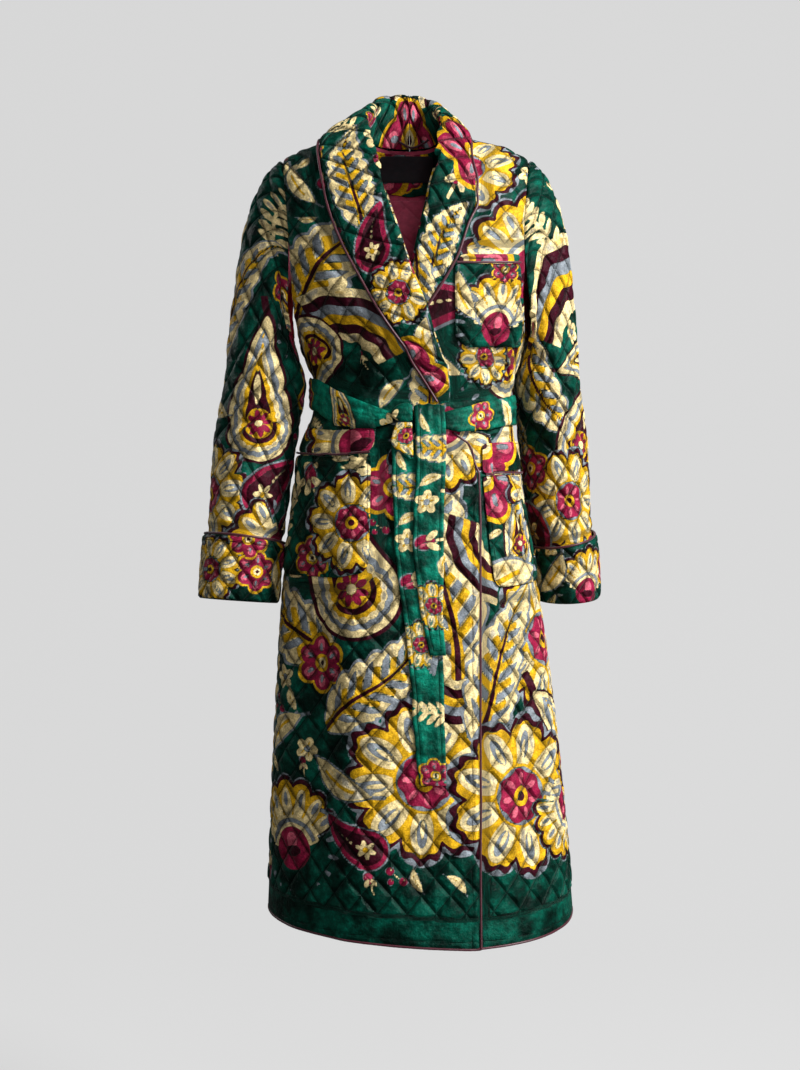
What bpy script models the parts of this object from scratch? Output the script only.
# Quilted velvet robe coat: shawl collar, turned-back cuffs, patch pockets and a tied belt.
# Metres, +Z up, the front faces -Y. The origin is inside the neck, where the coat is held.
import math
import bmesh
import bpy
import numpy as np
from mathutils.geometry import delaunay_2d_cdt

PX = 0.00148                              # a photo pixel at the coat's middle plane
EYE = np.array((-0.0044, -2.4, -0.585))   # where the photo was taken from
MM = 0.001
SKIN = 4 * MM        # cloth between the measured outline and the wall's inner face
LOW = 2.4 * MM       # wall along a stitch line
HIGH = 5.4 * MM      # wall at the middle of a quilted diamond
EDGE = 2.9 * MM      # wall along a seam or an edge
GAP = 0.3 * MM       # between pieces at a seam
CELL = np.array((0.040, 0.048))   # width and height of a quilted diamond
N_BODY, M_TOP = 2.3, 2.4          # squareness of the rings, and of the shoulders' profile
Z_ARM = -0.31        # bottom of the armholes
SLEEVE_R = 0.0585    # radius used for cloth lengths round a sleeve

# z, left edge, right edge, depth in front, depth behind
RINGS = np.array((
    (0.06, -0.204, 0.214, 0.112, 0.108),
    (-0.04, -0.204, 0.212, 0.116, 0.112),
    (-0.12, -0.198, 0.206, 0.120, 0.118),
    (-0.20, -0.188, 0.200, 0.123, 0.120),
    (-0.26, -0.172, 0.190, 0.122, 0.116),
    (-0.31, -0.151, 0.178, 0.116, 0.108),
    (-0.355, -0.134, 0.164, 0.106, 0.098),
    (-0.40, -0.134, 0.162, 0.103, 0.094),
    (-0.46, -0.151, 0.168, 0.114, 0.106),
    (-0.533, -0.162, 0.175, 0.128, 0.120),
    (-0.60, -0.171, 0.187, 0.139, 0.131),
    (-0.71, -0.1806, 0.2057, 0.151, 0.143),
    (-0.89, -0.191, 0.228, 0.167, 0.158),
    (-1.066, -0.198, 0.2457, 0.178, 0.170),
    (-1.20, -0.202, 0.2570, 0.185, 0.176)))
# |x|, height of the shoulder line
SHOULDER = np.array((
    (0.00, 0.018), (0.05, 0.010), (0.095, -0.006), (0.126, -0.014),
    (0.148, -0.0255), (0.170, -0.0375), (0.19, -0.0500), (0.215, -0.0665)))
# part of the way from shoulder to side, angle across the body, part of the way up
ARMHOLE = np.array((
    (0.0, 60, 1.0), (0.2, 58.5, 0.80), (0.4, 58, 0.58), (0.6, 60, 0.38),
    (0.75, 65, 0.22), (0.88, 75, 0.08), (1.0, 90, 0.0)))
# z, centre x, centre y, half width, half depth
SLEEVES = {
    -1: np.array((
        (-0.36, -0.2020, 0.000, 0.0545, 0.066),
        (-0.45, -0.2165, -0.004, 0.0545, 0.063),
        (-0.55, -0.2280, -0.012, 0.0530, 0.060),
        (-0.63, -0.2370, -0.018, 0.0505, 0.057),
        (-0.72, -0.2435, -0.024, 0.0485, 0.055))),
    1: np.array((
        (-0.36, 0.2145, 0.045, 0.0450, 0.074),
        (-0.45, 0.2255, 0.052, 0.0455, 0.069),
        (-0.55, 0.2350, 0.062, 0.0450, 0.067),
        (-0.63, 0.2475, 0.075, 0.0420, 0.064),
        (-0.72, 0.2530, 0.086, 0.0400, 0.062)))}
SLEEVE_END = 0.324   # length of a sleeve below its cap
CUFF = 0.090         # height of a cuff
# Length down to the hem: at the sides, at its lowest in front, and in the middle of the back
HEM_LEFT, HEM_RIGHT, HEM_FRONT, HEM_BACK = 1.124, 1.130, 1.152, 1.140
HEM_DIP = 0.07       # where the front's hem is lowest, from the middle


def curve(x, table, column):
    """A smooth line through one column of a table, read at x."""
    xs, ys = table[:, 0], table[:, column]
    if xs[0] > xs[-1]:
        xs, ys = xs[::-1], ys[::-1]
    slope = np.gradient(ys, xs)
    x = np.clip(x, xs[0], xs[-1])
    i = np.clip(np.searchsorted(xs, x) - 1, 0, len(xs) - 2)
    h = xs[i + 1] - xs[i]
    t = (x - xs[i]) / h
    return ((2 * t**3 - 3 * t**2 + 1) * ys[i] + (t**3 - 2 * t**2 + t) * h * slope[i]
            + (3 * t**2 - 2 * t**3) * ys[i + 1] + (t**3 - t**2) * h * slope[i + 1])


def ramp(x, a, b):
    t = np.clip((np.asarray(x, float) - a) / (b - a), 0, 1)
    return t * t * (3 - 2 * t)


def inside(poly, p, q):
    """Distance from the outline of a polygon, positive inside."""
    p, q = np.broadcast_arrays(np.asarray(p, float), np.asarray(q, float))
    best = np.full(p.shape, 1e9)
    odd = np.zeros(p.shape, bool)
    for (ax, ay), (bx, by) in zip(poly, np.roll(poly, -1, axis=0)):
        dx, dy = bx - ax, by - ay
        t = np.clip(((p - ax) * dx + (q - ay) * dy) / max(dx * dx + dy * dy, 1e-18), 0, 1)
        best = np.minimum(best, np.hypot(p - ax - t * dx, q - ay - t * dy))
        if dy != 0:
            odd ^= ((ay > q) != (by > q)) & (p < dx * (q - ay) / dy + ax)
    return np.where(odd, best, -best)


# The body: rings below the armholes, and a rounded rise to the shoulder line above them.
PSI = np.linspace(0, math.pi / 2, 181)
ROW_Z = np.linspace(Z_ARM, -1.22, 92)
STEPS = np.linspace(0, 1, 129)


def power(v, n):
    return np.sign(v) * np.abs(v) ** (2 / n)


def halves(z, side):
    left, right = curve(z, RINGS, 1) + SKIN, curve(z, RINGS, 2) - SKIN
    depth = curve(z, RINGS, 3 if side < 0 else 4) - SKIN
    return (left + right) / 2, (right - left) / 2, depth


def body_tables(side):
    rows, reach = [], []
    for z in ROW_Z:
        _, a, b = halves(z, side)
        x, y = a * power(np.sin(PSI), N_BODY), b * power(np.cos(PSI), N_BODY)
        run = np.concatenate(([0], np.cumsum(np.hypot(np.diff(x), np.diff(y)))))
        rows.append(np.interp(STEPS * run[-1], run, PSI))
        reach.append(run[-1])
    c, a, b = halves(Z_ARM, side)
    phi = np.linspace(0, math.pi / 2, 121)
    up, back = power(np.sin(phi), M_TOP), power(np.cos(phi), M_TOP)
    rise = []
    for psi in PSI:
        top = curve(np.abs(a * power(np.sin(psi), N_BODY)) * 1.18, SHOULDER, 1)
        depth = b * power(np.cos(psi), N_BODY)
        rise.append(np.hypot(np.diff(up) * (top - Z_ARM), np.diff(back) * depth).sum())
    top = curve(0.0, SHOULDER, 1)
    run = np.concatenate(([0], np.cumsum(np.hypot(
        np.diff(up) * (top - Z_ARM), np.diff(back) * b * 0.8))))
    turn = np.interp(STEPS * run[-1], run, phi)
    return np.array(rows), np.array(reach), np.array(rise), turn


TABLES = {side: body_tables(side) for side in (-1, 1)}


def reach(side, q):
    """Cloth from the middle of the body to its side seam at q."""
    return np.interp(-np.maximum(q, -Z_ARM), ROW_Z[::-1], TABLES[side][1][::-1])


def angle(side, p, q):
    rows = TABLES[side][0]
    r = np.clip((np.maximum(q, -Z_ARM) + Z_ARM) / (ROW_Z[0] - ROW_Z[1]), 0, len(ROW_Z) - 1.001)
    c = np.clip(np.abs(p) / reach(side, q), 0, 1) * (len(STEPS) - 1.001)
    i, j = r.astype(int), c.astype(int)
    u, v = r - i, c - j
    return ((1 - u) * ((1 - v) * rows[i, j] + v * rows[i, j + 1])
            + u * ((1 - v) * rows[i + 1, j] + v * rows[i + 1, j + 1])) * np.sign(p)


def body_at(side, psi, g, q):
    """A body point from the angle across, the part of the way up and the length down."""
    turn = np.interp(np.clip(g, 0, 1), STEPS, TABLES[side][3])
    a_top = halves(Z_ARM, side)[1] * 1.18
    top = curve(np.abs(a_top * power(np.sin(psi), N_BODY)), SHOULDER, 1)
    z = np.where(g > 0, Z_ARM + (top - Z_ARM) * power(np.sin(turn), M_TOP),
                 -np.maximum(q, -Z_ARM))
    c, a, b = halves(z, side)
    x = c + a * power(np.sin(psi), N_BODY)
    y = side * b * power(np.cos(psi), N_BODY) * power(np.cos(turn), M_TOP)
    return np.stack((x, y, z), -1)


def body(side, p, q):
    p, q = np.broadcast_arrays(np.asarray(p, float), np.asarray(q, float))
    psi = angle(side, p, q)
    g = (-Z_ARM - q) / np.interp(np.abs(psi), PSI, TABLES[side][2])
    return body_at(side, psi, g, q)


def pushed_out(w, least):
    """Points near the shoulders moved out until they stand at least this far off the body."""
    x, y, z = w[..., 0], w[..., 1], w[..., 2]
    top = curve(np.abs(x), SHOULDER, 1)
    side = np.where(y < 0, -1, 1)
    rings = [halves(np.minimum(z, top), k) for k in (-1, 1)]
    c, a = rings[0][0], rings[0][1]
    b = np.where(side < 0, rings[0][2], rings[1][2])
    across = np.clip(1 - np.abs((x - c) / a) ** N_BODY, 0.05, 1) ** (1 / N_BODY)
    up = np.maximum(z - Z_ARM, 0) / (top - Z_ARM)
    r = ((np.abs(y) / (b * across)) ** M_TOP + up ** M_TOP) ** (1 / M_TOP)
    size = np.hypot(y, z - Z_ARM) / r
    steep = np.clip(np.abs(y) / (b * across * r), 0, 1)
    need = 1 + least / size * (1 + 0.9 * steep)
    k = np.maximum(need / r, 1)
    return np.stack((x, y * k, Z_ARM + (z - Z_ARM) * k), -1)


def normals(surface, p, q, sense):
    h = 0.7 * MM
    dp = surface(p + h, q) - surface(p - h, q)
    dq = surface(p, q + h) - surface(p, q - h)
    n = np.cross(dp, dq) * sense
    return n / np.maximum(np.linalg.norm(n, axis=-1, keepdims=True), 1e-12)


class Cloth:
    """A surface read by cloth coordinates, with the normal of its outer face."""
    def __init__(self, at, sense, square=False):
        self.at, self.sense, self.square = at, sense, square

    def normal(self, p, q):
        n = normals(self.at, p, q, self.sense)
        if self.square:
            n = n * np.stack((ramp(p, 0.001, 0.025), np.ones(np.shape(p)), np.ones(np.shape(p))), -1)
            n /= np.maximum(np.linalg.norm(n, axis=-1, keepdims=True), 1e-12)
        return n

    def point(self, p, q, out=0.0):
        p, q = np.broadcast_arrays(np.asarray(p, float), np.asarray(q, float))
        n = self.normal(p, q)
        return self.at(p, q) + n * np.asarray(out)[..., None] * np.ones(p.shape)[..., None]


FRONT = Cloth(lambda p, q: body(-1, p, q), -1)
BACK = Cloth(lambda p, q: body(1, p, q), 1)


def solve(cloth, target, seen, start, out):
    pq = np.array(start, float)
    for _ in range(30):
        def off(v):
            return seen(cloth.point(v[0], v[1], out)) - target
        f = off(pq)
        h = 1e-4
        j = np.stack(((off(pq + (h, 0)) - f) / h, (off(pq + (0, h)) - f) / h), 1)
        step = np.linalg.lstsq(j, -f, rcond=None)[0]
        pq = pq + step * min(1, 0.03 / max(np.abs(step).max(), 1e-9))
        if np.abs(step).max() < 1e-6:
            break
    return pq


def seen_from_eye(w):
    k = -EYE[1] / (w[..., 1] - EYE[1])
    return EYE[[0, 2]] + (w[..., (0, 2)] - EYE[[0, 2]]) * k


def spot(px, py, out=4 * MM):
    """Cloth coordinates on the front for a pixel of the photo."""
    target = np.array(((px - 403) * PX, (140 - py) * PX))
    return solve(FRONT, target, seen_from_eye, (target[0], -target[1]), out)


def spots(rows, out=4 * MM):
    return np.array([spot(px, py, out) for px, py in rows])


def place(cloth, x, z):
    """Cloth coordinates of a body point from its x and z."""
    return solve(cloth, np.array((x, z)), lambda w: w[..., (0, 2)], (x, -z), 0.0)


def spaced(points, step, closed=False):
    """The same line with points at most a step apart, its corners kept."""
    points = np.asarray(points, float)
    ends = np.roll(points, -1, axis=0) if closed else points[1:]
    rows = []
    for a, b in zip(points, ends):
        n = max(1, math.ceil(np.linalg.norm(b - a) / step - 1e-6))
        rows += [a + (b - a) * k / n for k in range(n)]
    if not closed:
        rows.append(points[-1])
    return np.array(rows)


# Lines that two pieces share, in cloth coordinates of the front and the back.
def hem(side, p):
    """Length down to the hem, which dips in front, a little to one side of the middle."""
    right = p > (HEM_DIP if side < 0 else 0)
    edge = np.where(right, HEM_RIGHT, HEM_LEFT)
    if side > 0:
        return edge + (HEM_BACK - edge) * (1 - np.clip(np.abs(p) / 0.33, 0, 1) ** 1.4)
    wide = np.where(right, 0.33 - HEM_DIP, 0.33 + HEM_DIP)
    f = np.clip(np.abs(p - HEM_DIP) / wide, 0, 1) ** np.where(right, 1.4, 1.15)
    return edge + (HEM_FRONT - edge) * (1 - f)


def side_seam(side, lr):
    q = np.concatenate((np.arange(-Z_ARM, 1.10, 0.030), (hem(side, lr * 0.33),)))
    return np.stack((lr * (reach(side, q) - GAP / 2), q), 1)


def armhole_point(side, lr, u):
    """A point of an armhole as body angles: u is 0 at the shoulder and 1 at the side."""
    psi, g = curve(u, ARMHOLE, 1), curve(u, ARMHOLE, 2)
    return lr * np.radians(psi), np.clip(g, 0, 1)


ARM_U = np.linspace(0, 1, 13)


def armhole(side, lr):
    psi, g = armhole_point(side, lr, ARM_U)
    c, a, b = halves(Z_ARM, side)
    p = np.interp(np.abs(psi), np.interp(STEPS * 90, np.arange(91), np.interp(
        np.linspace(0, 1, 91), STEPS, TABLES[side][0][0])), STEPS) * TABLES[side][1][0]
    q = -Z_ARM - g * np.interp(np.abs(psi), PSI, TABLES[side][2])
    return np.stack((lr * p, q), 1)


def shoulder(side, lr, p_neck):
    """The shoulder seam from the armhole to the neck."""
    tip = armhole(side, lr)[0]
    p = np.linspace(tip[0], p_neck, 5)
    psi = angle(side, p, np.full(5, -Z_ARM))
    q = -Z_ARM - np.interp(np.abs(psi), PSI, TABLES[side][2]) * 0.9985
    return np.stack((p, q), 1)


# Meshes
def clear_scene():
    for thing in list(bpy.data.objects):
        bpy.data.objects.remove(thing)


def material(name, colour):
    m = bpy.data.materials.new(name)
    m.diffuse_color = (*colour, 1)
    m.use_nodes = True
    m.node_tree.nodes["Principled BSDF"].inputs["Base Color"].default_value = (*colour, 1)
    return m


COLOURS = {
    "velvet": (0.02, 0.16, 0.11), "piping": (0.09, 0.02, 0.03), "belt": (0.03, 0.22, 0.15),
    "lining": (0.18, 0.04, 0.07), "label": (0.02, 0.02, 0.02), "cuff": (0.55, 0.40, 0.12),
    "pocket": (0.10, 0.24, 0.16), "collar": (0.06, 0.20, 0.15)}
MATERIALS = {}


def make(name, verts, faces, slot):
    mesh = bpy.data.meshes.new(name)
    mesh.from_pydata([tuple(v) for v in verts], [], [tuple(int(i) for i in f) for f in faces])
    bm = bmesh.new()
    bm.from_mesh(mesh)
    bmesh.ops.recalc_face_normals(bm, faces=bm.faces)
    if bm.calc_volume(signed=True) < 0:
        bmesh.ops.reverse_faces(bm, faces=bm.faces)
    bm.to_mesh(mesh)
    bm.free()
    if slot not in MATERIALS:
        MATERIALS[slot] = material(slot, COLOURS[slot])
    mesh.materials.append(MATERIALS[slot])
    thing = bpy.data.objects.new(name, mesh)
    bpy.context.scene.collection.objects.link(thing)
    return thing


def mesh_plane(outline, inner, edges):
    """Triangles of an outlined region, as indices of the points given in."""
    n = len(outline)
    points = np.concatenate((outline, inner)) if len(inner) else outline
    loop = [(i, (i + 1) % n) for i in range(n)]
    out = delaunay_2d_cdt([tuple(v * 10.0) for v in points], loop + edges, [], 0, 1e-6, True)
    if len(out[0]) != len(points) or any(len(o) != 1 for o in out[3]):
        raise RuntimeError("an outline crosses itself or a stitch line")
    tris = [[out[3][i][0] for i in t] for t in out[2]]
    x, y = outline[:, 0], outline[:, 1]
    area = (x * np.roll(y, -1) - y * np.roll(x, -1)).sum()
    around = set(loop) if area > 0 else {(b, a) for a, b in loop}
    beside = {}
    for k, t in enumerate(tris):
        for i in range(3):
            beside[(t[i], t[(i + 1) % 3])] = k
    kept = {beside[e] for e in around}
    queue = list(kept)
    while queue:
        t = tris[queue.pop()]
        for i in range(3):
            a, b = t[i], t[(i + 1) % 3]
            k = beside.get((b, a))
            if (a, b) not in around and k is not None and k not in kept:
                kept.add(k)
                queue.append(k)
    return [tris[k] for k in sorted(kept)]


def lattice(outline, margin, keep=None, shift=(0, 0)):
    """Half-diamond grid inside an outline: its points, which of them are low, its stitches."""
    half = CELL / 2
    lo, hi = outline.min(0), outline.max(0)
    i = np.arange(math.floor((lo[0] - shift[0]) / half[0]), math.ceil((hi[0] - shift[0]) / half[0]) + 1)
    j = np.arange(math.floor((lo[1] - shift[1]) / half[1]), math.ceil((hi[1] - shift[1]) / half[1]) + 1)
    gi, gj = np.meshgrid(i, j)
    p, q = gi * half[0] + shift[0], gj * half[1] + shift[1]
    ok = inside(outline, p, q) > margin
    if keep is not None:
        ok &= keep(p, q)
    index = {}
    for a, b in zip(gi[ok], gj[ok]):
        index[(int(a), int(b))] = len(index)
    points = np.stack((p[ok], q[ok]), 1)
    low = (gi[ok] + gj[ok]) % 2 == 1
    stitches = []
    for (a, b), k in index.items():
        if (a + b) % 2 == 1:
            for da in (-1, 1):
                if (a + da, b + 1) in index:
                    stitches.append((k, index[(a + da, b + 1)]))
    return points, low, stitches


def grid_inside(outline, step, margin, where=None):
    lo, hi = outline.min(0), outline.max(0)
    p, q = np.meshgrid(np.arange(lo[0], hi[0], step), np.arange(lo[1], hi[1], step * 1.1))
    ok = inside(outline, p, q) > margin
    if where is not None:
        ok &= where(p, q)
    return np.stack((p[ok], q[ok]), 1)


def under_grid(outline, step, fine, fine_step):
    """Points of a wall's plain side, closer together where a piece lies against it."""
    if fine is None:
        return grid_inside(outline, step, step * 0.4)
    near = grid_inside(outline, fine_step, fine_step * 0.4, fine)
    far = grid_inside(outline, step, step * 0.4, lambda p, q: ~fine(p, q))
    if len(near) and len(far):
        gap = np.linalg.norm(far[:, None] - near[None], axis=2).min(1)
        far = far[gap > fine_step * 0.7]
    return np.concatenate((near, far))


def panel(name, cloth, outline, slot="velvet", lift=None, plain=None, step=0.055,
          thick=None, quilted=True, edge=EDGE, shift=(0, 0), fine=None, fine_step=0.028):
    """A closed wall of cloth: quilted outside, plain inside."""
    outline = np.asarray(outline, float)
    zero = lift or (lambda p, q: np.zeros(np.shape(p)))
    n = len(outline)
    if quilted:
        covered = plain or (lambda p, q: np.zeros(np.shape(p)))
        pts, low, stitches = lattice(outline, 8.5 * MM, lambda p, q: covered(p, q) < 0.97, shift)
        fill = grid_inside(outline, min(step, 0.028), 16 * MM)
        if len(fill):
            fill = fill[covered(fill[:, 0], fill[:, 1]) >= 0.97]
        if len(fill) and len(pts):
            near = np.linalg.norm(fill[:, None] - pts[None], axis=2).min(1)
            fill = fill[near > 17 * MM]
        k = len(pts)
        rise = np.where(low, LOW, HIGH)
        rise = rise - (rise - LOW) * covered(pts[:, 0], pts[:, 1]) if k else rise
        pts = np.concatenate((pts, fill)) if len(fill) else pts
        rise = np.concatenate((rise, np.full(len(fill), LOW)))
        stitches = [(a + n, b + n) for a, b in stitches]
    else:
        pts = grid_inside(outline, step, step * 0.45)
        rise = np.full(len(pts), thick)
        stitches = []
    top = mesh_plane(outline, pts, stitches)
    under = under_grid(outline, step, fine, fine_step)
    bottom = mesh_plane(outline, under, [])
    both = np.concatenate((outline, pts)) if len(pts) else outline
    rise = np.concatenate((np.full(n, edge if quilted else thick), rise))
    outer = cloth.point(both[:, 0], both[:, 1], zero(both[:, 0], both[:, 1]) + rise)
    both = np.concatenate((outline, under)) if len(under) else outline
    inner = cloth.point(both[:, 0], both[:, 1], zero(both[:, 0], both[:, 1]))
    base = len(outer)
    faces = [tuple(t) for t in top]
    faces += [tuple(base + i for i in reversed(t)) for t in bottom]
    for i in range(n):
        j = (i + 1) % n
        faces += [(i, base + i, j), (j, base + i, base + j)]
    return make(name, np.concatenate((outer, inner)), faces, slot)


def tube(name, points, radius, slot="piping", sides=4):
    """A cord along a line, closed at both ends."""
    points = np.asarray(points, float)
    tangent = np.gradient(points, axis=0)
    tangent /= np.linalg.norm(tangent, axis=1, keepdims=True)
    side = np.cross(tangent[0], (0.3, 1.0, 0.2))
    verts, faces = [], []
    for k, (c, t) in enumerate(zip(points, tangent)):
        side = side - t * np.dot(side, t)
        side /= np.linalg.norm(side)
        up = np.cross(t, side)
        for i in range(sides):
            a = 2 * math.pi * (i + 0.5) / sides
            verts.append(c + radius * (math.cos(a) * side + math.sin(a) * up))
        if k:
            for i in range(sides):
                j = (i + 1) % sides
                a, b, c2, d = (k - 1) * sides + i, (k - 1) * sides + j, k * sides + j, k * sides + i
                faces += [(a, b, c2), (a, c2, d)]
    last = (len(points) - 1) * sides
    faces += [(0, i + 1, i) for i in range(1, sides - 1)]
    faces += [(last, last + i, last + i + 1) for i in range(1, sides - 1)]
    return make(name, verts, faces, slot)


def ribbon(name, left, right, normal, thick, slot="belt", folds=(0.0, 0.0, 0.0)):
    """A strip between two lines; folds raises its inner columns."""
    left, right, normal = (np.asarray(v, float) for v in (left, right, normal))
    cols = len(folds) + 2
    rise = np.concatenate(([0.0], folds, [0.0]))
    grid = np.stack([left + (right - left) * c / (cols - 1) + normal * rise[c]
                     for c in range(cols)], 1)
    rows = len(left)
    outer = (grid + normal[:, None] * thick).reshape(-1, 3)
    inner = grid.reshape(-1, 3)
    base = rows * cols
    faces = []
    for r in range(rows - 1):
        for c in range(cols - 1):
            a, b, d, e = r * cols + c, r * cols + c + 1, (r + 1) * cols + c, (r + 1) * cols + c + 1
            faces += [(a, b, e), (a, e, d), (base + a, base + e, base + b), (base + a, base + d, base + e)]
    loop = [c for c in range(cols)] + [r * cols + cols - 1 for r in range(1, rows)]
    loop += [(rows - 1) * cols + c for c in range(cols - 2, -1, -1)]
    loop += [r * cols for r in range(rows - 2, 0, -1)]
    for i, a in enumerate(loop):
        b = loop[(i + 1) % len(loop)]
        faces += [(a, base + a, b), (b, base + a, base + b)]
    return make(name, np.concatenate((outer, inner)), faces, slot)


# Sleeves
def sleeve_rows(lr):
    t = SLEEVES[lr]
    z = np.linspace(t[0, 0], t[-1, 0], 60)
    line = np.stack((curve(z, t, 1), curve(z, t, 2), z), 1)
    run = np.concatenate(([0], np.cumsum(np.linalg.norm(np.diff(line, axis=0), axis=1))))
    return run, z


SLEEVE_RUN = {lr: sleeve_rows(lr) for lr in (-1, 1)}


def sleeve_ring(lr, theta, run):
    t = SLEEVES[lr]
    z = np.interp(run, *SLEEVE_RUN[lr])
    centre = np.stack((curve(z, t, 1), curve(z, t, 2), z), -1)
    h = 0.01
    axis = np.stack((curve(z - h, t, 1) - curve(z + h, t, 1),
                     curve(z - h, t, 2) - curve(z + h, t, 2), np.full(z.shape, -2 * h)), -1)
    axis /= np.linalg.norm(axis, axis=-1, keepdims=True)
    ahead = np.broadcast_to(np.array((0.0, -1.0, 0.0)), axis.shape)
    ahead = ahead - axis * (ahead * axis).sum(-1, keepdims=True)
    ahead /= np.linalg.norm(ahead, axis=-1, keepdims=True)
    outward = np.cross(ahead, axis)
    outward *= np.sign(outward[..., :1]) * lr
    w, d = curve(z, t, 3)[..., None], curve(z, t, 4)[..., None]
    return (centre + outward * w * np.cos(theta)[..., None]
            + ahead * d * np.sin(theta)[..., None]), axis


def cap_tables(lr):
    theta = np.linspace(-math.pi, math.pi, 181)
    u = np.abs(theta) / math.pi
    start, normal = [], []
    for k, v in enumerate(theta):
        side = -1 if v >= 0 else 1
        psi, g = armhole_point(side, lr, u[k])
        start.append(body_at(side, psi, g, -Z_ARM))
        h = 0.01
        across = body_at(side, psi + h, g, -Z_ARM) - body_at(side, psi - h, g, -Z_ARM)
        rise = body_at(side, psi, max(g, 0.03) + 0.01, 0) - body_at(side, psi, max(g, 0.03) - 0.01, 0)
        n = np.cross(across, rise) * (-side)
        normal.append(n / max(np.linalg.norm(n), 1e-12))
    start, normal = np.array(start), np.array(normal)
    side = np.array((lr, 0.0, 0.0))
    top = ramp(u, 0.16, 0.0)[:, None]
    normal = normal * (1 - top) + top * np.array((lr * 0.42, 0.0, 0.90))
    low = ramp(u, 0.5, 0.95)[:, None]
    normal = normal * (1 - low) + low * side
    normal /= np.linalg.norm(normal, axis=1, keepdims=True)
    along = np.gradient(start, axis=0)
    along[0] = along[-1] = (start[1] - start[-2]) / 2
    out = np.cross(normal, along)
    out /= np.maximum(np.linalg.norm(out, axis=1, keepdims=True), 1e-12)
    out *= np.sign((out * (side + np.array((0, 0, -0.5)))).sum(1, keepdims=True))
    out = out * (1 - low) + low * np.array((lr * 0.45, 0.0, -0.9))
    out = out + side * 0.35 * (1 - top)
    out /= np.linalg.norm(out, axis=1, keepdims=True)
    start = start + normal * (12.5 * MM * ramp(u, 0.45, 0.95))[:, None]
    start = start + out * GAP * 1.3
    end, axis = sleeve_ring(lr, theta, np.zeros(181))
    span = np.linalg.norm(end - start, axis=1, keepdims=True)
    return theta, start, out * span * 0.62, end, axis * span * 0.95, normal


def cap_point(lr, theta, v):
    tab = CAPS[lr]
    k = (theta + math.pi) / (2 * math.pi) * 180
    i = np.clip(k.astype(int), 0, 179)
    t = (k - i)[..., None]
    a, ta, b, tb = (tab[m][i] * (1 - t) + tab[m][i + 1] * t for m in (1, 2, 3, 4))
    v = v[..., None]
    return ((2 * v**3 - 3 * v**2 + 1) * a + (v**3 - 2 * v**2 + v) * ta
            + (3 * v**2 - 2 * v**3) * b + (v**3 - v**2) * tb)


CAPS = {lr: cap_tables(lr) for lr in (-1, 1)}


def cap_length(lr):
    theta = CAPS[lr][0]
    v = np.linspace(0, 1, 41)
    pts = cap_point(lr, np.repeat(theta[:, None], 41, 1), np.repeat(v[None], 181, 0))
    return np.linalg.norm(np.diff(pts, axis=1), axis=2).sum(1)


CAP_LENGTH = {lr: cap_length(lr) for lr in (-1, 1)}


def sleeve(lr, p, q):
    """A sleeve point: p round from its outer line towards the front, q down from its cap."""
    p, q = np.broadcast_arrays(np.asarray(p, float), np.asarray(q, float))
    theta = np.clip(p / SLEEVE_R, -math.pi, math.pi)
    length = np.interp(theta, CAPS[lr][0], CAP_LENGTH[lr])
    v = np.clip(1 + q / length, 0, 1)
    ring, _ = sleeve_ring(lr, theta, np.maximum(q, 0))
    return np.where((q < 0)[..., None], cap_point(lr, theta, v), ring)


SLEEVE = {lr: Cloth(lambda p, q, lr=lr: sleeve(lr, p, q), lr) for lr in (-1, 1)}


def sleeve_top(lr):
    u = np.concatenate((-ARM_U[::-1], ARM_U[1:]))
    theta = u * math.pi
    p = np.clip(theta * SLEEVE_R, -math.pi * SLEEVE_R + 0.4 * MM, math.pi * SLEEVE_R - 0.4 * MM)
    return np.stack((p, -np.interp(theta, CAPS[lr][0], CAP_LENGTH[lr])), 1)


# Lines of the front, as pixels of the photo
ROLL_OVER = ((380, 173), (385, 190), (396, 223), (410, 266), (425, 300), (433, 330),
             (441, 354), (447, 367), (449, 385), (449, 402))
FRONT_EDGE = ((451, 418), (452, 433), (465, 443), (472, 457), (477, 473), (478, 492), (479, 520),
              (479, 600), (479, 690), (479, 780), (479, 870), (479, 938))
ROLL_UNDER = ((439, 157), (435, 167), (431, 180), (427, 200), (413, 262), (404, 300), (394, 340),
              (384, 380))
UNDER_EDGE = ((378, 420), (371, 480), (368, 600), (366, 700), (364, 800), (362, 900), (361, 940))
# Neck edges of the two fronts, under the collar
FRONT_NECK = {-1: ((356, 150), (362, 161), (372, 173)), 1: ((452, 149), (447, 158), (441, 166))}
# roll line, outer edge, for the part of each collar that lies on the front
LAPELS = {
    -1: (((371, 146), (320, 160)), ((380, 173), (324, 182)), ((385, 190), (331, 211)),
         ((396, 223), (345, 245)), ((410, 266), (370, 290)), ((425, 300), (385, 316)),
         ((433, 330), (399, 336)), ((441, 354), (408, 349)), ((447, 367), (416, 365)),
         ((449, 385), (431, 388)), ((449, 402), (441, 404))),
    1: (((440, 143), (472, 160)), ((439, 157), (476, 176)), ((435, 167), (476, 190)),
        ((431, 180), (476, 203)), ((427, 200), (467, 222)), ((418, 238), (457, 252)),
        ((413, 262), (444, 276)), ((404, 300), (427, 303)), ((396, 330), (407, 336)))}
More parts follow.
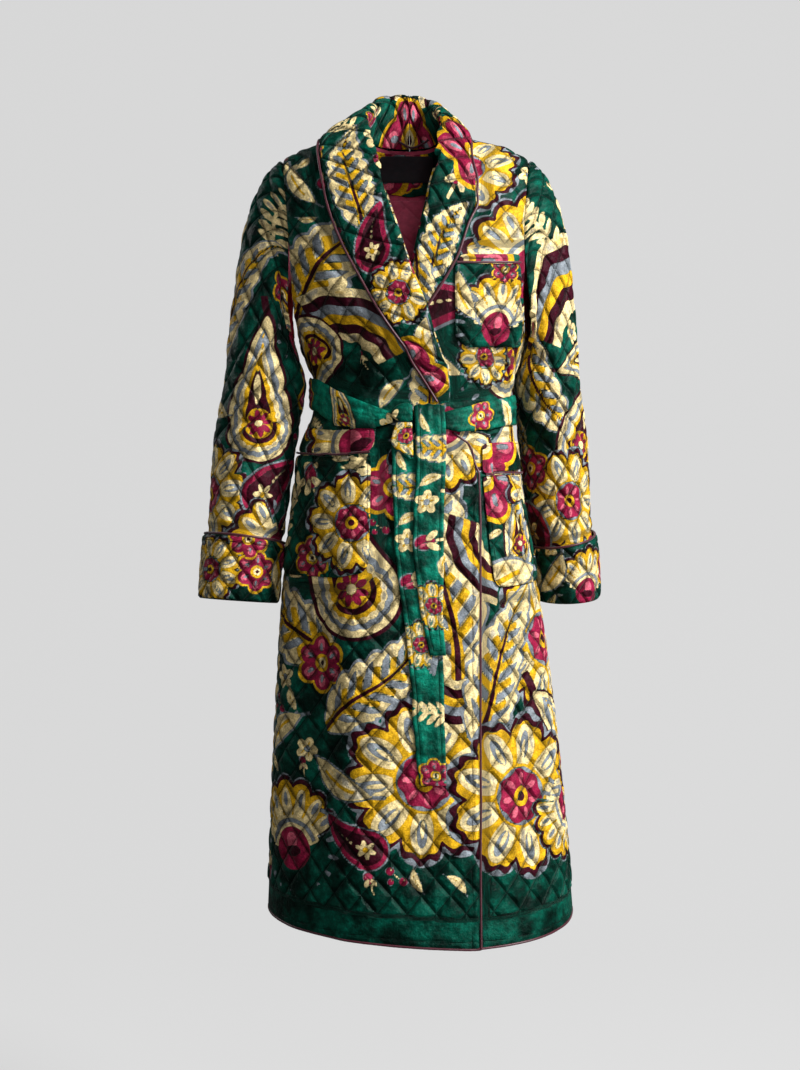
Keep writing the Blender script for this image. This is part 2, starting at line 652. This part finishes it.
# The neck part of each collar: roll line, outer edge and seam with the body
NECK = {
    -1: (((0.010, 0.064, 0.078), (1, 0.010, -0.036), (1, 0.010, -0.004)),
         ((-0.026, 0.061, 0.077), (1, -0.050, -0.034), (1, -0.022, -0.003)),
         ((-0.044, 0.042, 0.062), (1, -0.089, -0.028), (1, -0.045, 0.001)),
         ((-0.053, 0.014, 0.044), (0, -0.112, -0.007), (0, -0.061, 0.0075)),
         ((-0.054, -0.012, 0.022), (-1, -0.119, -0.023), (-1, -0.060, -0.001))),
    1: (((0.010, 0.064, 0.078), (1, 0.010, -0.036), (1, 0.010, -0.004)),
        ((0.034, 0.058, 0.073), (1, 0.056, -0.034), (1, 0.034, -0.003)),
        ((0.050, 0.041, 0.061), (1, 0.083, -0.028), (1, 0.050, 0.001)),
        ((0.057, 0.014, 0.044), (0, 0.0915, 0.0014), (0, 0.063, 0.0075)),
        ((0.058, -0.012, 0.022), (-1, 0.095, -0.020), (-1, 0.062, -0.001)))}
CHEST_POCKET = ((455, 264), (519.5, 264), (519.5, 348), (467, 348), (455, 338))
CHEST_BAND = ((460, 254.5), (519.5, 254.5), (519.5, 262), (458, 262))
HIP_LEFT = ((300, 455), (332, 457.5), (372, 455), (371, 520), (369, 566), (363, 574),
            (338, 578), (306, 575), (296, 566), (297, 520))
HIP_LEFT_BAND = ((300, 427), (332, 431), (372, 429), (372, 452), (332, 454.5), (300, 452))
HIP_RIGHT = ((482, 477), (504, 474), (515, 472), (519, 520), (524, 573), (511, 582), (499, 588),
             (494, 582), (491, 560), (486, 515))
HIP_RIGHT_BAND = ((482, 444), (515, 441), (515, 469), (504, 471), (482, 474))
# x, upper edge and lower edge of the belt
BELT_LEFT = ((317, 380, 411), (334, 390, 424), (359, 401, 429), (376, 407.5, 430), (393, 414, 424))
BELT_RIGHT = ((443, 414, 430), (457, 409, 433), (477, 404, 430), (495, 400, 428), (509, 396.5, 425))
BELT_BACK_Q = ((-1, 0.352, 0.398), (0, 0.362, 0.408), (1, 0.378, 0.424))
# height, left edge, right edge and distance off the body, in mm, of each hanging end
SHORT_TAIL = ((411, 414, 445, 18.4), (440, 416, 446, 17.6), (470, 415.5, 445.5, 16.0),
              (505, 414, 444.5, 15.2), (547, 413, 443.5, 15.2), (585, 417, 443, 15.2),
              (608, 420, 442.5, 15.2), (632, 425, 444, 15.2), (656, 429, 446, 15.2))
FLAP = ((422.9, 397, 412.5, 17.8), (434, 392.5, 412.5, 16.6), (444, 391, 413, 15.8),
        (452, 399, 413, 15.4), (459, 409, 413, 15.2))
# x, upper edge and lower edge of the knot beside the front end
EAR = ((391.5, 411, 417.5), (397, 406, 421), (403, 403.5, 422.5), (408, 403, 422.5), (412.5, 405.5, 420))
LONG_TAIL = ((440, 391, 420, 11.6), (470, 392, 422, 10.7), (510, 393, 424, 10.7),
             (560, 396, 427, 10.7), (620, 404, 437, 10.7), (660, 409, 443, 10.7),
             (700, 412, 444, 10.7), (745, 415, 445, 10.7), (786, 419, 447, 10.7))


def shoulder_p(lr, x_top=0.068):
    """Cloth coordinate across, for a place along the shoulder."""
    p = np.linspace(0.02, 0.24, 400)
    x = body(-1, lr * p, np.full(400, -0.03))[:, 0]
    return float(lr * np.interp(x_top, lr * x, p))


def outline_front(lr, inner_edge):
    """Outline of a front panel: side, armhole, shoulder, down its inner edge, hem."""
    side, arm = side_seam(-1, lr), armhole(-1, lr)[::-1].copy()
    arm[:, 0] -= lr * GAP * 1.2
    top = shoulder(-1, lr, shoulder_p(lr))
    last = inner_edge[-1]
    hem_p = np.linspace(last[0], side[-1, 0], 13 if lr * last[0] < 0 else 9)[1:-1]
    bottom = np.stack((hem_p, hem(-1, hem_p)), 1)
    neck = np.concatenate((top[-1:], spots(FRONT_NECK[lr], 5 * MM), inner_edge[:1]))
    neck_line = spaced(neck, 0.025)[1:-1]
    return np.concatenate((side[::-1], arm[1:], top[1:], neck_line, inner_edge, bottom))


def moved(line, by):
    """A line in cloth coordinates shifted sideways."""
    d = np.gradient(line, axis=0)
    d /= np.linalg.norm(d, axis=1, keepdims=True)
    return line + np.stack((-d[:, 1], d[:, 0]), 1) * by


def to_hem(line):
    line = line.copy()
    line[-1, 1] = hem(-1, line[-1, 0])
    return line


roll_over, front_edge = spots(ROLL_OVER, 10 * MM), to_hem(spots(FRONT_EDGE, 8 * MM))
roll_under, under_edge = spots(ROLL_UNDER, 5 * MM), to_hem(spots(UNDER_EDGE, 2 * MM))
over_line = np.concatenate((roll_over, front_edge))
under_line = np.concatenate((roll_under, under_edge))
belt_left = np.array([(spot(x, a, 9 * MM), spot(x, b, 9 * MM)) for x, a, b in BELT_LEFT])
belt_right = np.array([(spot(x, a, 9 * MM), spot(x, b, 9 * MM)) for x, a, b in BELT_RIGHT])
belt_mid = np.concatenate((belt_left.mean(1), belt_right.mean(1)))


def belted(p, q):
    """1 where the belt presses the padding flat on the front."""
    mid = np.interp(p, belt_mid[:, 0], belt_mid[:, 1])
    return 1 - ramp(np.abs(q - mid), 0.029, 0.044)


def belted_back(p, q):
    mid = np.interp(p / 0.24, [r[0] for r in BELT_BACK_Q],
                    [(r[1] + r[2]) / 2 for r in BELT_BACK_Q])
    return 1 - ramp(np.abs(q - mid), 0.029, 0.044)


def back_cover(p, q):
    w = body(1, p, q)
    low = -0.062 + 0.9 * np.maximum(0, np.abs(w[..., 0]) - 0.085)
    return np.maximum(belted_back(p, q), ramp(w[..., 2] - low, 0.0, 0.010))


def over_lift(p, q):
    """How far the overlapping front stands off the body, over the front beneath it."""
    edge = np.interp(q, under_line[:, 1], under_line[:, 0])
    w = ramp(p - edge, -0.055, -0.018) * ramp(q, 0.090, 0.165)
    return (4.4 + 4.0 * (1 - ramp(q, 0.32, 0.38))) * MM * w


def wide_of_over(p, q):
    """Distance beyond the edge of the overlapping front, positive where the other is seen."""
    return p - np.interp(q, over_line[:, 1], over_line[:, 0])


lapel = {lr: spots([r for r, _ in LAPELS[lr]] + [e for _, e in LAPELS[lr]][::-1], 10 * MM)
         for lr in (-1, 1)}
for lr in (-1, 1):
    ends = [(shoulder_p(lr, x), shoulder(-1, lr, shoulder_p(lr, x))[-1, 1]) for x in (0.13, 0.05)]
    lapel[lr] = np.concatenate((lapel[lr], ends))
chest = spots(CHEST_POCKET)
chest_band = spots(CHEST_BAND)
hip_left, hip_left_band = spots(HIP_LEFT), spots(HIP_LEFT_BAND)
hip_right, hip_right_band = spots(HIP_RIGHT), spots(HIP_RIGHT_BAND)
for poly, lr in ((hip_left, -1), (hip_left_band, -1), (hip_right, 1), (hip_right_band, 1)):
    far = lr * poly[:, 0] > lr * np.median(poly[:, 0]) + (0.02 if lr < 0 else 0.006)
    poly[far, 0] += lr * (reach(-1, poly[far, 1]) - 0.012 - (lr * poly[far, 0]).max())


def beneath(polys, p, q):
    """1 where a piece sewn on top presses the padding flat."""
    v = np.zeros(np.broadcast(p, q).shape)
    for poly in polys:
        v = np.maximum(v, ramp(inside(poly, p, q), -0.023, -0.009))
    return v


def over_cover(p, q):
    return np.maximum(belted(p, q), beneath((lapel[-1], hip_left, hip_left_band), p, q))


def under_cover(p, q):
    v = np.maximum(belted(p, q), beneath((lapel[1], chest, chest_band, hip_right, hip_right_band), p, q))
    return np.maximum(v, ramp(-wide_of_over(p, q), -0.017, -0.005) * ramp(q, 0.15, 0.18))


def on(height):
    return lambda p, q: np.full(np.shape(p), height * MM)


def on_over(height):
    return lambda p, q: over_lift(p, q) + height * MM


# The collars: a sheet from the neck seam up over the roll line and down to the outer edge
class Collar:
    def __init__(self, lr):
        roll, fall, seam, front, pq = [], [], [], [], []
        for r, e, n in NECK[lr]:
            roll.append(np.array(r))
            fall.append(self.on_body(e, 6.6 * MM))
            seam.append(self.on_body(n, 0.3 * MM))
            front.append(0.0)
            pq.append(None)
        for k, (r, e) in enumerate(LAPELS[lr]):
            a, b = spot(*r, 10 * MM), spot(*e, 10 * MM)
            pq.append((a, b))
            roll.append(self.on_front(lr, a))
            fall.append(self.on_front(lr, b))
            seam.append(roll[-1] + (seam[-1] - roll[-1]) * (0.35 if k == 0 else 0.0))
            front.append((0.55, 0.9)[k] if k < 2 else 1.0)
        first = len(NECK[lr])
        start = (pq[first][0] * 2 - pq[first + 1][0], pq[first][1] * 2 - pq[first + 1][1])
        pq = [v if v is not None else start for v in pq]
        t = np.arange(len(roll), dtype=float)
        dense = np.linspace(0, t[-1], 8 * (len(t) - 1) + 1)
        def smooth(rows):
            rows = np.array(rows, float).reshape(len(t), -1)
            table = np.concatenate((t[:, None], rows), 1)
            return np.stack([curve(dense, table, c + 1) for c in range(rows.shape[1])], 1)
        roll, fall, seam = smooth(roll), smooth(fall), smooth(seam)
        front = np.clip(smooth(front)[:, 0], 0, 1)
        front[dense >= first + 2] = 1.0
        pa, pb = smooth([v[0] for v in pq]), smooth([v[1] for v in pq])
        self.along = np.concatenate(([0], np.cumsum(np.linalg.norm(
            np.diff((roll + fall) / 2, axis=0), axis=1))))
        c = np.linspace(0, 1, 17)[None, :, None]
        def bezier(a, b, d, e):
            return (1 - c)**3 * a[:, None] + 3 * (1 - c)**2 * c * b[:, None] \
                + 3 * (1 - c) * c**2 * d[:, None] + c**3 * e[:, None]
        up = np.array((0, 0, 1.0))
        out = fall - roll
        out[:, 2] = 0
        out /= np.linalg.norm(out, axis=1, keepdims=True)
        size = np.linalg.norm(fall - roll, axis=1, keepdims=True)
        rise = (roll - fall)[:, 2:]
        air = bezier(roll, roll + out * size * 0.20, fall + up * rise * 0.32 - out * size * 0.08, fall)
        lay = pa[:, None] + (pb - pa)[:, None] * c
        flat = self.on_front(lr, lay)
        w = front[:, None, None]
        air = pushed_out(air, (4.6 + 3.2 * c[..., 0] ** 2) * MM)
        self.fall = air * (1 - w) + flat * w
        self.stand = bezier(seam, seam + up * np.abs(roll - seam)[:, 2:] * 0.5,
                            roll - out * 0.35 * np.linalg.norm(roll - seam, axis=1, keepdims=True),
                            roll)
        self.fall_size = np.linalg.norm(np.diff(self.fall, axis=1), axis=2).sum(1)
        self.stand_size = np.linalg.norm(np.diff(self.stand, axis=1), axis=2).sum(1)
        self.end = self.along[-1]
        self.cloth = Cloth(self.point, lr, True)

    @staticmethod
    def on_body(spec, out):
        side, x, z = spec
        if side == 0:
            return np.array((x, 0.002, z + out - 0.3 * MM))
        cloth = FRONT if side < 0 else BACK
        pq = place(cloth, x, z)
        return cloth.point(pq[0], pq[1], out)

    @staticmethod
    def on_front(lr, pq):
        p, q = pq[..., 0], pq[..., 1]
        lift = over_lift(p, q) if lr < 0 else np.zeros(np.shape(p))
        press = belted(p, q) * 0.6
        return FRONT.point(p, q, lift + (4.2 - press) * MM)

    def point(self, s, c):
        s, c = np.broadcast_arrays(np.asarray(s, float), np.asarray(c, float))
        k = np.interp(s, self.along, np.arange(len(self.along)))
        i = np.clip(k.astype(int), 0, len(self.along) - 2)
        u = (k - i)[..., None]
        fall = np.interp(s, self.along, self.fall_size)
        stand = np.maximum(np.interp(s, self.along, self.stand_size), 1e-4)
        def read(table, f):
            f = np.clip(f, 0, 1) * 15.999
            j = f.astype(int)
            v = (f - j)[..., None]
            return ((table[i, j] * (1 - v) + table[i, j + 1] * v) * (1 - u)
                    + (table[i + 1, j] * (1 - v) + table[i + 1, j + 1] * v) * u)
        return np.where((c >= 0)[..., None], read(self.fall, c / fall),
                        read(self.stand, 1 + c / stand))

    def outline(self):
        s = np.linspace(0.2 * MM, self.end, 25)
        top = np.interp(s, self.along, self.fall_size)
        low = -np.interp(s, self.along, self.stand_size)
        low[np.interp(s, self.along, np.arange(len(self.along))) > 8 * 6.0] = 0.0
        low = np.minimum(low, 0)
        left = np.linspace(low[0], top[0], 8)[1:-1]
        right = np.linspace(top[-1], low[-1], 3)[1:-1]
        return np.concatenate((
            np.stack((s, low), 1), np.stack((np.full(len(right), s[-1]), right[::-1]), 1),
            np.stack((s, top), 1)[::-1],
            np.stack((np.full(len(left), s[0]), left[::-1]), 1)))


def collar_cover(lr, collar):
    def covered(s, c):
        w = collar.point(s, c)
        pq = np.stack((w[..., 0], -w[..., 2]), -1)
        v = belted(pq[..., 0], pq[..., 1]) * (w[..., 1] < 0)
        if lr > 0:
            v = np.maximum(v, ramp(-wide_of_over(pq[..., 0], pq[..., 1]), -0.016, -0.004)
                           * ramp(pq[..., 1], 0.15, 0.18) * (w[..., 1] < 0))
        return v
    return covered


def build_body():
    over_edge = np.concatenate((moved(roll_over, -2 * MM)[1:], front_edge))
    panel("front_over", FRONT, outline_front(-1, spaced(over_edge, 0.03)), lift=over_lift,
          plain=over_cover, fine=lambda p, q: over_lift(p, q) > 1 * MM)
    under = np.concatenate((moved(roll_under, 2 * MM)[1:], under_edge))
    panel("front_under", FRONT, outline_front(1, spaced(under, 0.03)), plain=under_cover, step=0.05)
    sides = {lr: side_seam(1, lr) for lr in (-1, 1)}
    arms = {lr: armhole(1, lr) for lr in (-1, 1)}
    tops = {lr: shoulder(1, lr, shoulder_p(lr)) for lr in (-1, 1)}
    for lr in (-1, 1):
        arms[lr][:, 0] -= lr * GAP * 1.2
    neck = [place(BACK, n[1], n[2] - 2.2 * MM) for _, _, n in NECK[-1][2::-1] + NECK[1][1:3]]
    hem_p = np.linspace(sides[-1][-1, 0], sides[1][-1, 0], 23)[1:-1]
    bottom = np.stack((hem_p, hem(1, hem_p)), 1)
    ring = np.concatenate((sides[-1][::-1], arms[-1][::-1][1:], tops[-1][1:], neck,
                           tops[1][::-1], arms[1][1:], sides[1][1:], bottom[::-1]))
    panel("back", BACK, ring, plain=back_cover, shift=(0.01, 0.0),
          fine=lambda p, q: (np.abs(p - 0.01) < 0.12) & (q < 0.33))


def build_sleeves():
    for lr, side in ((-1, "right"), (1, "left")):
        cloth = SLEEVE[lr]
        top = sleeve_top(lr)
        w = math.pi * SLEEVE_R - 0.4 * MM
        rows = spaced(((w, top[-1, 1]), (w, SLEEVE_END - 4 * MM)), 0.030)[1:]
        end = np.stack((np.linspace(w, -w, 15), np.full(15, SLEEVE_END - 4 * MM)), 1)[1:]
        back = rows[::-1][1:] * (-1, 1)
        ring = np.concatenate((top, rows, end, back))
        start = SLEEVE_END - CUFF
        panel("sleeve_" + side, cloth, ring, step=0.05,
              plain=lambda p, q: ramp(q, start - 0.018, start - 0.008))
        band = np.array(((-w, start), (w, start), (w, SLEEVE_END), (-w, SLEEVE_END)))
        panel("cuff_" + side, cloth, spaced(band, 0.026, True), "cuff", lift=on(5.8), step=0.018,
              shift=(0, start))
        p = np.linspace(-w + 0.003, w - 0.003, 17)
        tube("piping_cuff_" + side, cloth.point(p, np.full(17, start - 1.7 * MM), 7.2 * MM), 1.6 * MM)


def build_collar():
    for lr, side in ((-1, "right"), (1, "left")):
        collar = Collar(lr)
        ring = collar.outline()
        panel("collar_" + side, collar.cloth, ring, "collar", step=0.02,
              plain=collar_cover(lr, collar), shift=(0, 0.024))
        s = np.linspace(0.2 * MM, collar.end, 25)
        s = np.concatenate(((2.2 * MM,), s[1:-1], (collar.end - 4 * MM,)))
        c = np.interp(s, collar.along, collar.fall_size)
        edge, near = collar.point(s, c), collar.point(s, c - 4 * MM)
        out = (edge - near) / np.linalg.norm(edge - near, axis=1, keepdims=True)
        n = collar.cloth.normal(s, c - 4 * MM)
        tube("piping_collar_" + side, edge + out * 3.5 * MM + n * 2.1 * MM, 1.6 * MM)


def build_pockets():
    fit = (("chest_pocket", chest, chest_band, on(3.5)),
           ("hip_pocket_right", hip_left, hip_left_band, on_over(3.7)),
           ("hip_pocket_left", hip_right, hip_right_band, on(3.9)))
    for name, poly, band, lift in fit:
        panel(name, FRONT, spaced(poly, 0.022, True), "pocket", lift=lift, step=0.022)
        panel(name + "_band", FRONT, spaced(band, 0.022, True), "pocket", lift=lift, step=0.022,
              quilted=False, thick=3.2 * MM)
        top = poly[poly[:, 1] < poly[:, 1].min() + 0.012]
        top = top[np.argsort(top[:, 0])]
        low = band[band[:, 1] > np.median(band[:, 1])]
        low = low[np.argsort(low[:, 0])]
        a = np.interp(np.linspace(0, 1, 7), np.linspace(0, 1, len(top)), top[:, 0])
        b = np.interp(a, top[:, 0], top[:, 1])
        d = np.interp(a, low[:, 0], low[:, 1])
        line = np.stack((a, (b + d) / 2), 1)
        h = 4.7 * MM
        tube("piping_" + name, FRONT.point(line[:, 0], line[:, 1],
                                           lift(line[:, 0], line[:, 1]) + h), 1.5 * MM)


def build_piping():
    edge = spaced(front_edge[1:], 0.03)
    pts = FRONT.point(edge[:, 0] + 2.8 * MM, edge[:, 1], over_lift(edge[:, 0], edge[:, 1]) + 2.2 * MM)
    pts[-1, 2] += 3 * MM
    tube("piping_front", pts, 1.6 * MM)
    p = np.linspace(front_edge[-1, 0] - 2 * MM, -reach(-1, 1.132), 15)
    a = FRONT.point(p, hem(-1, p) + 2.2 * MM, over_lift(p, hem(-1, p)) + 1.4 * MM)
    r = reach(1, 1.132)
    p = np.linspace(-r, r, 24)[1:-1]
    b = BACK.point(p, hem(1, p) + 2.2 * MM, 1.4 * MM)
    p = np.linspace(reach(-1, 1.132), under_edge[-1, 0] + 4 * MM, 15)
    c = FRONT.point(p, hem(-1, p) + 2.2 * MM, 1.4 * MM)
    under = p < front_edge[-1, 0] + 0.02
    c = c[~under]
    tube("piping_hem", np.concatenate((a, b, c)), 1.6 * MM)


def belt_height(p):
    """Belt base over the front: higher where the fronts and the lapel lie under it."""
    return (7.0 + 6.0 * ramp(p, -0.110, -0.065) * (1 - ramp(p, 0.078, 0.105))) * MM


def build_belt():
    def rows(table, n):
        t = np.linspace(0, 1, len(table))
        u = np.linspace(0, 1, n)
        top = np.stack([np.interp(u, t, table[:, 0, k]) for k in (0, 1)], 1)
        low = np.stack([np.interp(u, t, table[:, 1, k]) for k in (0, 1)], 1)
        return top, low
    top_l, low_l = rows(belt_left, 8)
    top_r, low_r = rows(belt_right, 7)
    side_top = np.array((-reach(-1, BELT_BACK_Q[0][1]), BELT_BACK_Q[0][1]))
    side_low = np.array((-reach(-1, BELT_BACK_Q[0][2]), BELT_BACK_Q[0][2]))
    right_top = np.array((reach(-1, BELT_BACK_Q[2][1]), BELT_BACK_Q[2][1]))
    right_low = np.array((reach(-1, BELT_BACK_Q[2][2]), BELT_BACK_Q[2][2]))
    def lay(cloth, pq, height):
        return cloth.point(pq[:, 0], pq[:, 1], height), normals(cloth.at, pq[:, 0], pq[:, 1], cloth.sense)
    def front(top, low):
        h = belt_height(top[:, 0])
        a, n = lay(FRONT, top, h)
        b, m = lay(FRONT, low, h)
        return a, b, n + m
    mid = (0.35, 0.7)
    wl = np.array([side_top + (top_l[0] - side_top) * k for k in mid])
    vl = np.array([side_low + (low_l[0] - side_low) * k for k in mid])
    wr = np.array([top_r[-1] + (right_top - top_r[-1]) * k for k in (0.3, 0.65)])
    vr = np.array([low_r[-1] + (right_low - low_r[-1]) * k for k in (0.3, 0.65)])
    f1 = front(np.concatenate((wl, top_l)), np.concatenate((vl, low_l)))
    f2 = front(np.concatenate((top_r, wr)), np.concatenate((low_r, vr)))
    k = np.linspace(-1, 1, 25)
    qt = np.interp(k, [r[0] for r in BELT_BACK_Q], [r[1] for r in BELT_BACK_Q])
    ql = np.interp(k, [r[0] for r in BELT_BACK_Q], [r[2] for r in BELT_BACK_Q])
    bt = np.stack((k * reach(1, qt), qt), 1)
    bl = np.stack((k * reach(1, ql), ql), 1)
    a, n = lay(BACK, bt, 6.6 * MM)
    b, m = lay(BACK, bl, 6.6 * MM)
    back = (a, b, n + m)
    left = np.concatenate([v[0] for v in (f2, )] + [back[0][::-1]] + [f1[0]])
    right = np.concatenate([v[1] for v in (f2, )] + [back[1][::-1]] + [f1[1]])
    normal = np.concatenate([v[2] for v in (f2, )] + [back[2][::-1]] + [f1[2]])
    normal /= np.linalg.norm(normal, axis=1, keepdims=True)
    ribbon("belt_round", left, right, normal, 3.2 * MM, folds=(0.4 * MM, 1.2 * MM, 0.3 * MM))

    def tail(name, table, folds, head=None):
        rows = np.array([(spot(l, y, h * MM), spot(r, y, h * MM)) for y, l, r, h in table])
        height = np.array([r[3] * MM for r in table])
        a = FRONT.point(rows[:, 0, 0], rows[:, 0, 1], height)
        b = FRONT.point(rows[:, 1, 0], rows[:, 1, 1], height)
        n = normals(FRONT.at, rows[:, :, 0].mean(1), rows[:, :, 1].mean(1), -1)
        if head:
            a, b, n = head(a, b, n)
        return ribbon(name, a, b, n, 3.0 * MM, folds=folds)
    def over_knot(a, b, n):
        def curl(v):
            back = v[0] + np.array(((0, 0.0065, 0.0005), (0, 0.0055, 0.0040), (0, 0.0015, 0.0055)))
            return np.concatenate((back, v))
        m = np.array(((0, 0.95, 0.3), (0, 0.35, 0.93), (0, -0.5, 0.86)))
        return curl(a), curl(b), np.concatenate((m, n))
    tail("belt_tail_short", SHORT_TAIL, (0.5 * MM, 1.4 * MM, 0.4 * MM), over_knot)
    tail("belt_tail_long", LONG_TAIL, (0.6 * MM, 1.0 * MM, 0.5 * MM))
    tail("belt_flap", FLAP, (0.8 * MM, 2.0 * MM, 1.4 * MM))
    rows = np.array([(spot(x, a, 18 * MM), spot(x, b, 18 * MM)) for x, a, b in EAR])
    n = normals(FRONT.at, rows[:, :, 0].mean(1), rows[:, :, 1].mean(1), -1)
    ribbon("belt_knot", FRONT.point(rows[:, 0, 0], rows[:, 0, 1], 17.6 * MM),
           FRONT.point(rows[:, 1, 0], rows[:, 1, 1], 17.6 * MM), n, 3.4 * MM,
           folds=(1.5 * MM, 3.6 * MM, 2.4 * MM))


def build_inside():
    inward = Cloth(BACK.at, -1)
    face = np.array([place(BACK, x, z) for x, z in (
        (-0.052, -0.004), (-0.02, -0.009), (0.010, -0.010), (0.034, -0.009), (0.056, -0.004),
        (0.060, -0.040), (0.045, -0.062), (0.012, -0.068), (-0.028, -0.062), (-0.052, -0.040))])
    panel("neck_facing", inward, spaced(face, 0.02, True), "collar", lift=on(1.9), step=0.02,
          quilted=False, thick=1.2 * MM)
    tab = np.array([place(BACK, x, z) for x, z in (
        (-0.036, -0.011), (0.046, -0.011), (0.046, -0.047), (-0.036, -0.047))])
    panel("label", inward, spaced(tab, 0.02, True), "label", lift=on(3.9), step=0.02,
          quilted=False, thick=0.8 * MM)
    lining = np.array([place(BACK, x, z) for x, z in (
        (-0.075, -0.073), (0.012, -0.073), (0.083, -0.073), (0.100, -0.16), (0.100, -0.29),
        (-0.085, -0.29), (-0.085, -0.16))])
    panel("lining_back", inward, spaced(lining, 0.035, True), "lining", lift=on(1.5), step=0.025,
          quilted=False, thick=1.2 * MM)
    loop = []
    for lr, places in ((-1, (0.026, 0.014, 0.003)), (1, (0.006, 0.018, 0.032, 0.046))):
        collar = Collar(lr)
        for v in places:
            low = -np.interp(v, collar.along, collar.stand_size) + 8 * MM
            loop.append(collar.cloth.point(np.array((v,)), np.array((low,)), 7.2 * MM)[0])
    loop = np.array(loop)
    loop[:, 2] -= 0.009 * np.sin(math.pi * np.linspace(0, 1, len(loop)))
    tube("hanger_loop", loop, 1.4 * MM, "piping", 6)


clear_scene()
build_body()
build_sleeves()
build_collar()
build_pockets()
build_piping()
build_belt()
build_inside()
